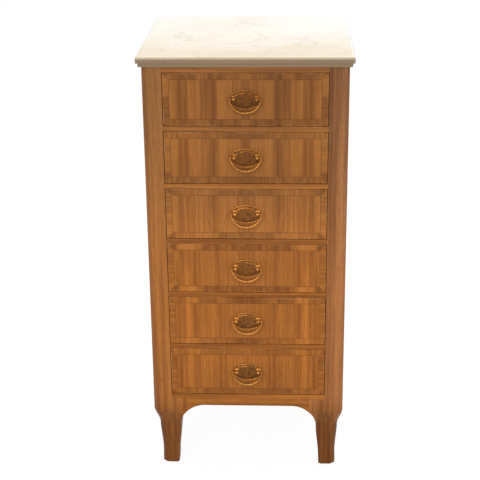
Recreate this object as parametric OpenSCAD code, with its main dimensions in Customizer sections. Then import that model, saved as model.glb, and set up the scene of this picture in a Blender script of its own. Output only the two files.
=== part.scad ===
// Narrow six-drawer nightstand. A moulded stone slab lies on a case of four
// posts, panels and rails, the posts run down into short cabriole legs, and
// dovetailed drawers slide on runners and open by an oval plate and a bail.
// The front faces -Y, z = 0 is the floor, and the origin is under the middle
// of the whole piece.

/* [Overall] */
// Height from the floor to the top of the stone
height = 762; // [740:1:820]
// Width of the case across its posts
case_w = 339; // [315:1:400]
// Depth of the case from its front plane to its back
case_d = 326; // [310:1:400]
// Height of the underside of the apron above the floor
leg_h = 125.5; // [115:0.5:150]
// Number of drawers, one above the other
drawers = 6; // [4:1:7]

/* [Stone top] */
// Thickness of the stone slab
stone_t = 18; // [16:0.5:24]
// How far the slab stands out past the case at each side
stone_side = 8; // [6.5:0.5:14]
// How far the slab stands out past the drawer fronts
stone_front = 8; // [7:0.5:14]
// How far the slab stands out past the back
stone_back = 6; // [2:0.5:12]
// Radius of the round on the upper edge of the slab
edge_round = 5; // [3:0.5:7]
// Radius of the cove under the edge of the slab
edge_cove = 3.5; // [3:0.5:6.5]
// Height of the plain band under the cove
edge_foot = 3; // [1:0.5:4]

/* [Case] */
// Width and depth of each corner post
post_w = 33; // [30:0.5:40]
// Width of the cut across the outer corner of the front posts
cant = 7; // [3:0.5:10]
// Thickness of the rails between the drawers
rail_t = 9; // [8:0.5:14]
// Depth of the rails from front to back
rail_d = 40; // [36:1:60]
// Thickness of the rails under the stone
top_rail_t = 10; // [8:0.5:16]
// Depth of the back rail under the stone
back_rail_d = 28; // [20:1:40]
// Height of the aprons under the lowest rail
apron_h = 14.5; // [10:0.5:24]
// Thickness of the aprons
apron_t = 18; // [14:0.5:22]
// Thickness of the side panels
panel_t = 8; // [6:0.5:10]
// How far the side panels lie in from the faces of the posts
panel_in = 2; // [0.5:0.5:4]
// How far the panels reach into the grooves of the posts
tongue = 6; // [4:0.5:10]
// Thickness of the back panel
back_t = 6; // [4:0.5:8]
// Width of the rebate that holds the back panel
back_lap = 8; // [5:0.5:12]
// Thickness of the bottom board
floor_t = 8; // [5:0.5:9]
// How far the bottom board reaches into the aprons
floor_lap = 5; // [3:0.5:8]
// Length of the tenons on rails and aprons
tenon_l = 12; // [8:0.5:16]
// Depth of the tenons from front to back
tenon_w = 18; // [12:0.5:22]
// How far the tenons lie behind the front of the case
tenon_in = 8; // [5:0.5:10]
// Thickness of the tenons
tenon_t = 5; // [3:0.5:6]
// Wood left above and below the tenons of the aprons
apron_shoulder = 2; // [1:0.5:3]
// Air left round tenons, tongues and other glued joints
glue_gap = 0.1; // [0.05:0.05:0.3]

/* [Legs] */
// How far the leg stands in from the corner of the case
ankle_in = 9; // [5:0.5:16]
// Width of the leg where it leaves the knee
ankle_w = 38.5; // [30:0.5:42]
// Width of the leg at its thinnest
shin_w = 30.5; // [24:0.5:36]
// Height of the thinnest place above the floor
shin_z = 20; // [14:1:40]
// Width of the foot on the floor
foot_w = 30; // [24:0.5:36]
// How far the foot kicks outward
foot_kick = 1.5; // [0:0.5:4]
// Radius of the arch between apron and leg
arch_r = 44; // [34:1:50]
// How far the knee block runs along the apron
ear_w = 12; // [8:0.5:20]
// How far the curve of the knee starts below the underside of the apron
knee_drop = 6; // [0:0.5:12]
// Width of the cut on the edges of the foot
foot_edge = 1.5; // [0.5:0.5:3]

/* [Drawers] */
// Air between a drawer front and the opening round it
reveal = 0.8; // [0.5:0.1:1.5]
// Air between a drawer side and the runner under it
slide_gap = 0.3; // [0.2:0.1:0.6]
// Thickness of the drawer fronts
front_t = 20; // [18:0.5:24]
// Thickness of the drawer sides and backs
side_t = 8; // [7:0.5:11]
// Air between the ends of the drawers and the back panel
drawer_behind = 20; // [10:1:60]
// How far the sides stop below the top of their opening
side_drop = 14; // [8:0.5:20]
// How far the back stops below the tops of the sides
back_drop = 6; // [3:0.5:15]
// How far the back lies in from the ends of the sides
back_in = 8; // [5:0.5:20]
// Depth of the housing that holds the back in the sides
back_house = 3; // [2:0.5:4]
// Thickness of the drawer bottoms
base_t = 5; // [4:0.5:7]
// Height of the drawer bottom above the edge of the sides
base_up = 8; // [7:0.5:10]
// Depth of the grooves that hold the drawer bottom
base_house = 4; // [3:0.5:5]
// Number of dovetails at each front corner
tails = 3; // [2:1:4]
// Length of the dovetails
tail_l = 14; // [10:0.5:15]
// Width of a dovetail at its root
tail_w = 13; // [8:0.5:14]
// How much a dovetail widens on each side
tail_flare = 2; // [1:0.5:2.5]

/* [Runners] */
// How far a runner reaches under the drawer
runner_in = 14; // [10:0.5:20]
// Height of the strip that guides the side of a drawer
guide_h = 14; // [8:0.5:24]
// Width of a drawer stop
stop_w = 25; // [15:1:40]
// Depth of a drawer stop
stop_d = 12; // [8:0.5:16]
// Height of a drawer stop
stop_h = 6; // [4:0.5:6.5]
// Distance of the drawer stops from the middle
stop_x = 70; // [40:1:90]

/* [Pulls] */
// Width of the oval plate
plate_w = 54; // [50:0.5:64]
// Height of the oval plate
plate_h = 34; // [30:0.5:42]
// Thickness of the plate
plate_t = 1.2; // [1:0.1:2]
// Width of the raised rim of the plate
rim_w = 2; // [1.5:0.5:4]
// Height of the rim and of the raised middle of the plate
rim_h = 0.8; // [0.4:0.1:1.2]
// Distance between the two posts of a pull
post_span = 38; // [34:0.5:40]
// Height of the pivot above the middle of the plate
pivot_up = 3; // [0:0.5:6]
// Distance of the pivot from the drawer front
pivot_out = 9; // [8:0.5:14]
// Diameter of the ball on a pull's post
ball_d = 8.5; // [7:0.5:9]
// Diameter of the neck of a pull's post
neck_d = 5.5; // [4.5:0.5:6.5]
// Diameter of the collar of a pull's post
collar_d = 9.5; // [8:0.5:11]
// Thickness of the collar of a pull's post
collar_t = 1.4; // [1:0.2:2.4]
// Diameter of the bolt of a pull's post
bolt_d = 4; // [3:0.5:5]
// Radial air round the bolt in the drawer front and the plate
bolt_gap = 0.2; // [0.1:0.05:0.4]
// Width across the flats of the nut
nut_w = 8; // [7:0.5:10]
// Thickness of the nut
nut_t = 3; // [2:0.5:4]
// Room round the nut for a socket
nut_room = 3; // [2:0.5:5]
// Depth of the nut under the inner face of the drawer front
nut_sink = 2; // [1:0.5:4]
// Diameter of the pins at the ends of the bail
pin_d = 2.4; // [2:0.1:3]
// Radial air between a pin and its bore
pin_gap = 0.08; // [0.05:0.01:0.1]
// Drop of the bail below its pivot
bail_drop = 23; // [20:0.5:28]
// Radius of the bail at its ends
bail_end_r = 1.6; // [1.3:0.1:2]
// Radius of the bail at its middle
bail_mid_r = 2.6; // [2:0.1:3.2]
// How far the middle of the bail bows outward
bail_bow = 2; // [1:0.5:4]
// Air between the ball of a post and the bail beside it
bail_gap = 0.6; // [0.4:0.1:1.5]

/* [Hidden] */
wood = "#a4683a";
wood_dark = "#7b4a24";
wood_pale = "#c9a878";
stone = "#efe6d2";
brass = "#8f7440";

// Levels of the case
post_top = height - stone_t;
block_top = leg_h + apron_h;
floor_z = block_top + rail_t;
open_h = (post_top - top_rail_t - floor_z - (drawers - 1) * rail_t) / drawers;
pitch = open_h + rail_t;
open_w = case_w - 2 * post_w;
function open_z(i) = floor_z + (drawers - i) * pitch;

// Places from front to back
pull_reach = pivot_out + bail_bow + bail_mid_r;
front_y = pull_reach - (pull_reach + case_d + stone_back) / 2;
back_y = front_y + case_d;
runner_y = front_y + rail_d;
runner_l = case_d - rail_d - post_w;

// Leg outline, measured inward from the corner of the case
ankle_z = leg_h - arch_r;
knee_z = leg_h - knee_drop;
ankle_u = ankle_in + ankle_w;
ear_u = ankle_u + ear_w;
arch_u = ankle_u + arch_r;
steps = 12;

// Drawer box
drawer_l = case_d - back_t - drawer_behind;
front_w = open_w - 2 * reveal;
front_h = open_h - 2 * reveal;
side_h = open_h - slide_gap - side_drop;
inner_w = front_w - 2 * side_t;
tail_pitch = side_h / tails;

// Pull
pull_z = open_h / 2;
bail_w = post_span + ball_d + 2 * (bail_gap + bail_end_r);
bore_d = pin_d + 2 * pin_gap;
bolt_hole_d = bolt_d + 2 * bolt_gap;
nut_hole_d = nut_w + 2 * nut_room;
nut_hole_l = nut_t + nut_sink;
oval_sides = 48;
seat_gap = 0.05;
eps = 0.01;

DRAWER_PIECES = ["front", "left_side", "right_side", "back", "bottom", "pull", "bail"];
CASE_NODES = [
    "marble_top", "front_left_leg", "front_right_leg", "back_left_leg", "back_right_leg",
    "left_side_panel", "right_side_panel", "back_panel", "bottom_board", "front_apron",
    "left_apron", "right_apron", "back_apron", "top_frame", "drawer_rails",
    "drawer_runners", "drawer_stops"
];

// A box given by its lowest and highest corners
module block(low, high) {
    translate(low) cube(high - low);
}

// Stands a profile drawn in x and z upright and gives it a length along y
module along_y(y0, length) {
    translate([0, y0 + length, 0]) rotate([90, 0, 0]) linear_extrude(length) children();
}

// Stands a profile drawn in y and z upright and gives it a length along x
module along_x(x0, length) {
    translate([x0, 0, 0]) rotate([90, 0, 90]) linear_extrude(length) children();
}

// Stone slab

// Section of the slab from its middle to one moulded edge at x = reach
module moulded_half(reach) {
    difference() {
        square([reach, stone_t]);
        translate([reach - edge_round, stone_t - edge_round]) difference() {
            square(edge_round + 1);
            circle(edge_round, $fn = 48);
        }
        translate([reach, edge_foot]) circle(edge_cove, $fn = 48);
        translate([reach - edge_cove, -1]) square([edge_cove + 1, edge_foot + 1]);
    }
}

module marble_top() {
    half_w = case_w / 2 + stone_side;
    slab_front = front_y - stone_front;
    slab_back = back_y + stone_back;
    color(stone) translate([0, 0, post_top]) intersection() {
        along_y(slab_front, slab_back - slab_front) {
            moulded_half(half_w);
            mirror([1, 0]) moulded_half(half_w);
        }
        along_x(-half_w, 2 * half_w) {
            mirror([1, 0]) moulded_half(-slab_front);
            translate([-eps, 0]) square([slab_back + eps, stone_t]);
        }
    }
}

// Posts and legs

// Half width and middle of the leg, and how far its knee stands in, at height z
function s_curve(t) = (1 - cos(180 * t)) / 2;
function leg_half(z) = z > shin_z
    ? shin_w / 2 + (ankle_w - shin_w) / 2 * s_curve((z - shin_z) / (ankle_z - shin_z))
    : shin_w / 2 + (foot_w - shin_w) / 2 * pow(1 - z / shin_z, 2);
function leg_mid(z) = ankle_in + ankle_w / 2 - foot_kick * pow(1 - z / ankle_z, 2);
function knee_out(z) = ankle_in * s_curve((knee_z - z) / (knee_z - ankle_z));

KNEE = [for (k = [0:steps]) let (z = knee_z + (ankle_z - knee_z) * k / steps) [knee_out(z), z]];
SHIN_Z = [for (k = [1:steps]) foot_edge + (ankle_z - foot_edge) * (1 - k / steps)];
SHIN_OUT = concat([for (z = SHIN_Z) [leg_mid(z) - leg_half(z), z]],
    [[leg_mid(0) - leg_half(0) + foot_edge, 0]]);
SHIN_IN = concat([[leg_mid(0) + leg_half(0) - foot_edge, 0]],
    [for (k = [steps - 1:-1:0]) let (z = SHIN_Z[k]) [leg_mid(z) + leg_half(z), z]]);
ARCH_END = acos((ear_u - arch_u) / arch_r);
ARCH = [for (k = [0:steps]) let (a = 180 + (ARCH_END - 180) * k / steps)
    [arch_u + arch_r * cos(a), ankle_z + arch_r * sin(a)]];

OUTER = concat([[0, post_top]], KNEE, SHIN_OUT);
TOP_INNER = [[post_w, block_top], [post_w, post_top]];
// Leg with the ear that meets an apron, and the same leg without it
WIDE = concat(OUTER, SHIN_IN, ARCH, [[ear_u, block_top]], TOP_INNER);
NARROW = concat(OUTER, SHIN_IN, [[ankle_u, ankle_z], [ankle_u, block_top]], TOP_INNER);
// The same two seen from the side of a back leg, whose outer face is straight
// and flush with the back of the case
function to_back(points) = [for (p = points) [p[0] - ankle_in, p[1]]];
BACK_OUTER = [[0, post_top], [0, foot_edge], [foot_edge, 0]];
BACK_WIDE = concat(BACK_OUTER, to_back(SHIN_IN), to_back(ARCH),
    [[ear_u - ankle_in, block_top]], TOP_INNER);
BACK_NARROW = concat(BACK_OUTER, to_back(SHIN_IN),
    [[ankle_w, ankle_z], [ankle_w, block_top]], TOP_INNER);
// Outline of the canted corner, seen along the diagonal of the post; its levels
// lie between those of the outer line, so that no more than three faces meet
CANT_LINE = concat([[0, post_top + 1], [0, knee_z + 1]],
    [for (k = [1:len(OUTER) - 2]) (OUTER[k] + OUTER[k + 1]) / 2], [OUTER[len(OUTER) - 1] - [0, 1]]);
CANTED = concat([for (p = CANT_LINE) [(2 * p[0] + cant) / sqrt(2), p[1]]],
    [[4 * ear_u, -1], [4 * ear_u, post_top + 1]]);

// A leg in the corner of the case: u runs along +x and v along +y from the corner
module leg_form(u_wide, u_narrow, v_wide, v_narrow) {
    reach = 2 * ear_u;
    intersection() {
        along_y(-1, reach) polygon(u_wide);
        along_x(-1, reach) polygon(v_narrow);
    }
    intersection() {
        along_y(-1, reach) polygon(u_narrow);
        along_x(-1, reach) polygon(v_wide);
    }
}

module canted_side() {
    rotate([0, 0, 45]) along_y(-2 * ear_u, 4 * ear_u) polygon(CANTED);
}

// Groove for a side panel in the face of the post that looks along the side
module panel_groove() {
    block([panel_in - glue_gap, post_w - tongue - glue_gap, block_top],
        [panel_in + panel_t + glue_gap, post_w + 1, post_top + 1]);
}

// Mortise for a tenon of the given height, sunk from the face at x = face
module mortise(face, y0, y1, z0, z1) {
    block([face - tenon_l - glue_gap, y0 - glue_gap, z0 - glue_gap],
        [face + 1, y1 + glue_gap, z1 + glue_gap]);
}

function rail_tenon_z(top, t) = top - (t + tenon_t) / 2;

module front_leg() {
    difference() {
        intersection() {
            leg_form(WIDE, NARROW, WIDE, NARROW);
            canted_side();
        }
        panel_groove();
        for (i = [1:drawers]) {
            z = rail_tenon_z(open_z(i), rail_t);
            mortise(post_w, tenon_in, tenon_in + tenon_w, z, z + tenon_t);
        }
        z_top = rail_tenon_z(post_top, top_rail_t);
        mortise(post_w, tenon_in, tenon_in + tenon_w, z_top, z_top + tenon_t);
        apron_mortise();
        mirror([1, -1, 0]) apron_mortise();
    }
}

module apron_mortise() {
    y = (apron_t - tenon_t) / 2;
    mortise(ear_u, y, y + tenon_t, leg_h + apron_shoulder, block_top - apron_shoulder);
}

module back_leg() {
    difference() {
        leg_form(WIDE, NARROW, BACK_WIDE, BACK_NARROW);
        panel_groove();
        block([post_w - back_lap, -1, block_top], [post_w + 1, back_t, post_top + 1]);
        z_top = rail_tenon_z(post_top, top_rail_t);
        y = back_t + (back_rail_d - tenon_w) / 2;
        mortise(post_w, y, y + tenon_w, z_top, z_top + tenon_t);
        apron_mortise();
        translate([0, -ankle_in, 0]) mirror([1, -1, 0]) apron_mortise();
    }
}

module at_corner(right, back) {
    mirror([right ? 1 : 0, 0, 0]) translate([-case_w / 2, back ? back_y : front_y, 0])
        mirror([0, back ? 1 : 0, 0]) children();
}

module front_left_leg() {
    color(wood_dark) at_corner(false, false) front_leg();
}

module front_right_leg() {
    color(wood_dark) at_corner(true, false) front_leg();
}

module back_left_leg() {
    color(wood_dark) at_corner(false, true) back_leg();
}

module back_right_leg() {
    color(wood_dark) at_corner(true, true) back_leg();
}

// Panels and boards of the case

module side_panel() {
    x = -case_w / 2 + panel_in;
    block([x, front_y + post_w - tongue, block_top],
        [x + panel_t, back_y - post_w + tongue, post_top]);
}

module left_side_panel() {
    color(wood) side_panel();
}

module right_side_panel() {
    color(wood) mirror([1, 0, 0]) side_panel();
}

module back_panel() {
    half = open_w / 2 + back_lap - glue_gap;
    color(wood_pale) block([-half, back_y - back_t, block_top], [half, back_y, post_top]);
}

// Clearance for a leg block whose arm along the apron is arm deep
module leg_notch(arm) {
    block([-1, -1, leg_h], [ear_u + glue_gap, arm + glue_gap, block_top + 1]);
    block([-1, -1, leg_h], [ankle_u + glue_gap, arm + ear_w + glue_gap, block_top + 1]);
}

module bottom_board() {
    half = case_w / 2 - apron_t + floor_lap - glue_gap;
    y0 = front_y + apron_t - floor_lap + glue_gap;
    y1 = back_y - apron_t + floor_lap - glue_gap;
    color(wood_pale) difference() {
        block([-half, y0, block_top - floor_t], [half, y1, block_top]);
        for (right = [false, true]) {
            at_corner(right, false) leg_notch(ankle_u);
            at_corner(right, true) leg_notch(ankle_w);
        }
    }
}

// Sections of an apron seen from its end, with and without the curve of the knees
APRON_BACK = [[ankle_u, ankle_z], [ankle_u, block_top + 1]];
KNEED_FACE = concat([[0, block_top + 1]], KNEE, APRON_BACK);
PLAIN_FACE = concat([[0, block_top + 1], [0, ankle_z]], APRON_BACK);

// Apron from x = l0 to x = l1, whose ends carry on the arches of the legs
module apron_outline(l0, l1) {
    right = [for (k = [0:steps]) let (a = ARCH_END + (90 - ARCH_END) * k / steps)
        [l1 - (arch_u - ear_u) - arch_r * cos(a), ankle_z + arch_r * sin(a)]];
    left = [for (k = [steps:-1:0]) [l0 + l1 - right[k][0], right[k][1]]];
    polygon(concat([[l0, block_top], [l1, block_top]], right, left));
}

// Apron along x with its outer face at y = 0, a rebate for the bottom board
// along its inner edge and a tenon at each end; a kneed apron carries the curve
// of the knees beside it on its outer face
module apron(l0, l1, kneed) {
    tenon_y = (apron_t - tenon_t) / 2;
    difference() {
        intersection() {
            along_y(-1, apron_t + 1) apron_outline(l0, l1);
            along_x(l0 - 1, l1 - l0 + 2) polygon(kneed ? KNEED_FACE : PLAIN_FACE);
        }
        block([l0 - 1, apron_t - floor_lap, block_top - floor_t - glue_gap],
            [l1 + 1, apron_t + 1, block_top + 1]);
    }
    block([l0 - tenon_l, tenon_y, leg_h + apron_shoulder],
        [l1 + tenon_l, tenon_y + tenon_t, block_top - apron_shoulder]);
}

module front_apron() {
    half = case_w / 2 - ear_u;
    color(wood) translate([0, front_y, 0]) apron(-half, half, true);
}

module left_apron() {
    color(wood) translate([-case_w / 2, 0, 0]) mirror([1, -1, 0])
        apron(front_y + ear_u, back_y - ear_u + ankle_in, true);
}

module right_apron() {
    mirror([1, 0, 0]) left_apron();
}

module back_apron() {
    half = case_w / 2 - ear_u;
    color(wood_pale) translate([0, back_y, 0]) mirror([0, 1, 0]) apron(-half, half, false);
}

// Rails, runners and stops

// A rail between the posts with a tenon at each end; z is its top
module rail(y0, depth, tenon_y, t, z) {
    zt = rail_tenon_z(z, t);
    block([-open_w / 2, y0, z - t], [open_w / 2, y0 + depth, z]);
    block([-open_w / 2 - tenon_l, tenon_y, zt], [open_w / 2 + tenon_l, tenon_y + tenon_w, zt + tenon_t]);
}

module top_frame() {
    y_back = back_y - back_t - back_rail_d;
    color(wood_pale) {
        rail(front_y, rail_d, front_y + tenon_in, top_rail_t, post_top);
        rail(y_back, back_rail_d, y_back + (back_rail_d - tenon_w) / 2, top_rail_t, post_top);
        for (s = [0, 1]) {
            mirror([s, 0, 0]) kicker();
        }
    }
}

// Strip under the stone that keeps the top drawer level when it is open
module kicker() {
    x0 = -case_w / 2 + panel_in + panel_t;
    block([x0, runner_y + glue_gap, post_top - top_rail_t],
        [-open_w / 2 + runner_in, back_y - back_t - back_rail_d - glue_gap, post_top]);
}

module drawer_rails() {
    color(wood) for (i = [1:drawers]) {
        rail(front_y, rail_d, front_y + tenon_in, rail_t, open_z(i));
    }
}

// Runner with its guide, as one L-shaped strip along the side of the case
module runner(z) {
    x0 = -case_w / 2 + panel_in + panel_t;
    x1 = -open_w / 2;
    along_y(runner_y, runner_l) polygon([
        [x0, z - rail_t], [x1 + runner_in, z - rail_t], [x1 + runner_in, z],
        [x1, z], [x1, z + guide_h], [x0, z + guide_h]
    ]);
}

module drawer_runners() {
    color(wood_pale) for (i = [1:drawers], s = [0, 1]) {
        mirror([s, 0, 0]) runner(open_z(i));
    }
}

module drawer_stops() {
    y0 = front_y + front_t + slide_gap;
    color(wood_pale) for (i = [1:drawers], s = [-1, 1]) {
        x = s * stop_x;
        block([x - stop_w / 2, y0, open_z(i)], [x + stop_w / 2, y0 + stop_d, open_z(i) + stop_h]);
    }
}

// Drawers, drawn with y = 0 at the drawer's face and z = 0 at the floor of its opening

module in_drawer(i) {
    translate([0, front_y, open_z(i)]) children();
}

// Dovetails of a side in y and z, each grown by a gap all round
module tail_outline(gap) {
    for (k = [0:tails - 1]) {
        z = slide_gap + tail_pitch * (k + 0.5);
        root = tail_w / 2 + gap;
        tip = root + tail_flare;
        polygon([[front_t + eps, z - root], [front_t + eps, z + root],
            [front_t - tail_l - gap, z + tip], [front_t - tail_l - gap, z - tip]]);
    }
}

// Groove for the drawer bottom, cut to the given depth from x = 0 towards -x
module base_groove(depth) {
    block([-depth, front_t - base_house - glue_gap, slide_gap + base_up - glue_gap],
        [1, drawer_l + 1, slide_gap + base_up + base_t + glue_gap]);
}

module drawer_front(i) {
    color(wood) in_drawer(i) difference() {
        block([-front_w / 2, 0, reveal], [front_w / 2, front_t, reveal + front_h]);
        for (s = [0, 1]) {
            mirror([s, 0, 0]) along_x(inner_w / 2 - glue_gap, side_t + glue_gap + 1) tail_outline(glue_gap);
        }
        block([-inner_w / 2 - eps, front_t - base_house - glue_gap, slide_gap + base_up - glue_gap],
            [inner_w / 2 + eps, front_t + 1, slide_gap + base_up + base_t + glue_gap]);
        for (s = [-1, 1]) {
            translate([s * post_span / 2, 0, pull_z + pivot_up]) rotate([-90, 0, 0]) {
                translate([0, 0, -1]) cylinder(d = bolt_hole_d, h = front_t + 2, $fn = 32);
                translate([0, 0, front_t - nut_hole_l]) cylinder(d = nut_hole_d, h = nut_hole_l + 1, $fn = 32);
            }
        }
    }
}

// The right side; its tails reach into the front
module drawer_side() {
    x0 = inner_w / 2;
    y_back = drawer_l - back_in - side_t;
    difference() {
        union() {
            block([x0, front_t, slide_gap], [x0 + side_t, drawer_l, slide_gap + side_h]);
            along_x(x0, side_t) tail_outline(0);
        }
        translate([x0 + base_house, 0, 0]) base_groove(base_house + 1);
        block([x0 - 1, y_back - glue_gap, slide_gap + base_up + base_t - eps],
            [x0 + back_house + glue_gap, y_back + side_t + glue_gap, slide_gap + side_h + 1]);
    }
}

module drawer_right_side(i) {
    color(wood_pale) in_drawer(i) drawer_side();
}

module drawer_left_side(i) {
    color(wood_pale) in_drawer(i) mirror([1, 0, 0]) drawer_side();
}

module drawer_back(i) {
    half = inner_w / 2 + back_house;
    y_back = drawer_l - back_in - side_t;
    color(wood_pale) in_drawer(i) block([-half, y_back, slide_gap + base_up + base_t],
        [half, y_back + side_t, slide_gap + side_h - back_drop]);
}

module drawer_bottom(i) {
    half = inner_w / 2 + base_house - glue_gap;
    color(wood_pale) in_drawer(i) block([-half, front_t - base_house + glue_gap, slide_gap + base_up],
        [half, drawer_l, slide_gap + base_up + base_t]);
}

// Pulls, drawn round the middle of the plate

module at_pull(i) {
    in_drawer(i) translate([0, 0, pull_z]) children();
}

module oval(rx, rz) {
    polygon([for (k = [1:oval_sides]) let (a = 360 * k / oval_sides) [rx * cos(a), rz * sin(a)]]);
}

module oval_plate() {
    rx = plate_w / 2;
    rz = plate_h / 2;
    face = plate_t + rim_h;
    dish = 3 * rim_w;
    difference() {
        along_y(-face, face) oval(rx, rz);
        along_y(-face - 1, rim_h + 1) difference() {
            oval(rx - rim_w, rz - rim_w);
            oval(rx - dish, rz - dish);
        }
        for (s = [-1, 1]) {
            translate([s * post_span / 2, 1, pivot_up]) rotate([90, 0, 0])
                cylinder(d = bolt_hole_d, h = face + 2, $fn = 32);
            translate([s * post_span / 2, -plate_t, pivot_up]) rotate([90, 0, 0])
                cylinder(d = collar_d + 2 * bolt_gap, h = face, $fn = 32);
        }
    }
}

// Turned post with its bolt; z runs outward from the drawer front
module pull_post() {
    seat = plate_t + seat_gap;
    difference() {
        union() {
            translate([0, 0, seat]) cylinder(d = collar_d, h = collar_t, $fn = 32);
            translate([0, 0, -front_t]) cylinder(d = bolt_d, h = front_t + plate_t + 1, $fn = 32);
            translate([0, 0, seat]) cylinder(d = neck_d, h = pivot_out - seat, $fn = 32);
            translate([0, 0, pivot_out]) sphere(d = ball_d, $fn = 32);
        }
        translate([-ball_d, 0, pivot_out]) rotate([0, 90, 0]) cylinder(d = bore_d, h = 2 * ball_d, $fn = 32);
    }
}

module pull_nut() {
    translate([0, 0, -front_t + nut_hole_l - nut_t]) difference() {
        cylinder(d = nut_w / cos(45), h = nut_t, $fn = 4);
        translate([0, 0, -1]) cylinder(d = bolt_d + 2 * seat_gap, h = nut_t + 2, $fn = 32);
    }
}

module drawer_pull(i) {
    color(brass) at_pull(i) {
        oval_plate();
        for (s = [-1, 1]) {
            translate([s * post_span / 2, 0, pivot_up]) rotate([90, 0, 0]) {
                pull_post();
                pull_nut();
            }
        }
    }
}

// Bail: a half oval that swells to its middle, as rings joined in one skin
bail_steps = 20;
ring_sides = 10;
function bail_r(a) = bail_end_r + (bail_mid_r - bail_end_r) * pow(sin(a), 2);
function bail_point(a) = [bail_w / 2 * cos(a), -bail_bow * sin(a), -bail_drop * sin(a)];
function bail_heading(a) = [-bail_w / 2 * sin(a), -bail_bow * cos(a), -bail_drop * cos(a)];
function unit(v) = v / norm(v);
function ring(a) = let (t = unit(bail_heading(a)), n = unit(cross(t, [0, -1, 0])), b = cross(n, t))
    [for (k = [0:ring_sides - 1]) let (w = 360 * k / ring_sides)
        bail_point(a) + bail_r(a) * (n * sin(w) + b * cos(w))];

module bail_bar() {
    rings = [for (j = [0:bail_steps]) ring(180 * j / bail_steps)];
    last = bail_steps * ring_sides;
    skin = [for (j = [0:bail_steps - 1], k = [0:ring_sides - 1])
        let (p = j * ring_sides + k, q = j * ring_sides + (k + 1) % ring_sides)
        each [[p, q + ring_sides, q], [p, p + ring_sides, q + ring_sides]]];
    ends = [[for (k = [0:ring_sides - 1]) k], [for (k = [ring_sides - 1:-1:0]) last + k]];
    polyhedron([for (r = rings) each r], concat(skin, ends));
}

module drawer_bail(i) {
    pin_in = (post_span - ball_d) / 2 + 1;
    color(brass) at_pull(i) translate([0, -pivot_out, pivot_up]) {
        bail_bar();
        for (s = [0, 1]) {
            mirror([s, 0, 0]) {
                translate([pin_in, 0, 0]) rotate([0, 90, 0])
                    cylinder(d = pin_d, h = bail_w / 2 - pin_in, $fn = 32);
                translate([bail_w / 2, 0, 0]) sphere(r = bail_end_r + 0.1, $fn = 32);
            }
        }
    }
}

marble_top();
front_left_leg();
front_right_leg();
back_left_leg();
back_right_leg();
left_side_panel();
right_side_panel();
back_panel();
bottom_board();
front_apron();
left_apron();
right_apron();
back_apron();
top_frame();
drawer_rails();
drawer_runners();
drawer_stops();
for (i = [1:drawers]) {
    drawer_front(i);
    drawer_left_side(i);
    drawer_right_side(i);
    drawer_back(i);
    drawer_bottom(i);
    drawer_pull(i);
    drawer_bail(i);
}
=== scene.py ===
"""Looks of the narrow six-drawer nightstand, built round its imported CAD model."""
from itertools import product
from math import cos, pi, radians, sin, sqrt

import bmesh
import bpy
from mathutils import Matrix, Vector


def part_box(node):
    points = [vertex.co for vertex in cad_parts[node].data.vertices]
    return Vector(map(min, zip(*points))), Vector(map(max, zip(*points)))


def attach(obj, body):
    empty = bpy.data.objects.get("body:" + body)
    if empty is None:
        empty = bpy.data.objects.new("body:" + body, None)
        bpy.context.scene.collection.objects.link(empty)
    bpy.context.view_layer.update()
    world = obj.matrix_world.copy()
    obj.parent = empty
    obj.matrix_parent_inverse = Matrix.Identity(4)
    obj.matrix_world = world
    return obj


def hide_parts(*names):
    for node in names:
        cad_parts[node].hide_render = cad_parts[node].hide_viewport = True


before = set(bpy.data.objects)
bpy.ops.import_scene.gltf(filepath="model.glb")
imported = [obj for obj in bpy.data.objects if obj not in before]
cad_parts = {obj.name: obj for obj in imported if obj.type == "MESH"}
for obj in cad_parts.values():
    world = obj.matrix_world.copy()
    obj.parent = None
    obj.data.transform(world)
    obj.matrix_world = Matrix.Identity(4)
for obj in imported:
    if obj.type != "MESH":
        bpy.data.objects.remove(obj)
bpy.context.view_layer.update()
MM = 0.001

# Camera, solved from the outline in the photo
PHOTO_SIZE = 480
FOCAL_PIXELS = 1214.06
SENSOR_MM = 36.0
CAMERA_AT = (0.08155, -2.08483, 1.18549)
YAW, PITCH, ROLL = radians(-2.753), radians(21.03), radians(-0.625)

# Places and sizes from the frame, in millimetres
DRAWERS = sum(1 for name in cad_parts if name.endswith("_front"))


def box_mm(node):
    low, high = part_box(node)
    return low / MM, high / MM


SLAB_LOW, SLAB_HIGH = box_mm("marble_top")
LEG_LOW, LEG_HIGH = box_mm("front_left_leg")
BACK_LOW, BACK_HIGH = box_mm("back_panel")
HALF_CASE = -LEG_LOW.x
FRONT_Y = LEG_LOW.y
BACK_Y = box_mm("back_left_leg")[1].y
POST_TOP = LEG_HIGH.z
BLOCK_TOP = box_mm("left_side_panel")[0].z
EAR_U = LEG_HIGH.x - LEG_LOW.x

# Outline of the legs, posts and aprons, as the CAD model has it
POST_W, CANT, BACK_CANT = 33.0, 7.0, 1.2
ARCH_R, KNEE_DROP, APRON_H = 44.0, 6.0, 14.5
ANKLE_IN, ANKLE_W, SHIN_W, SHIN_Z = 9.0, 38.5, 30.5, 20.0
FOOT_W, FOOT_KICK, FOOT_EDGE = 30.0, 1.5, 1.5
APRON_T, FLOOR_LAP, FLOOR_T, FLOOR_AIR = 18.0, 5.0, 8.0, 0.2
LEG_H = BLOCK_TOP - APRON_H
ANKLE_Z = LEG_H - ARCH_R
KNEE_Z = LEG_H - KNEE_DROP
ANKLE_U = ANKLE_IN + ANKLE_W
ARCH_U = ANKLE_U + ARCH_R

# Least distances, in metres, between points that stay apart
CAD_WELD, UNION_WELD = 1e-6, 2e-6

# Creases sharper than this stay hard, in degrees
CREASE, STONE_CREASE = 38, 30
# Of an eased copy, in degrees: faces as flat to each other as the first are merged, and edges
# sharper than the second may be rounded
FLAT_WITHIN, EASED_OVER = 0.5, 30
# Share of a side that a rounded corner takes at most
CURVE_SHARE = 0.45


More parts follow.
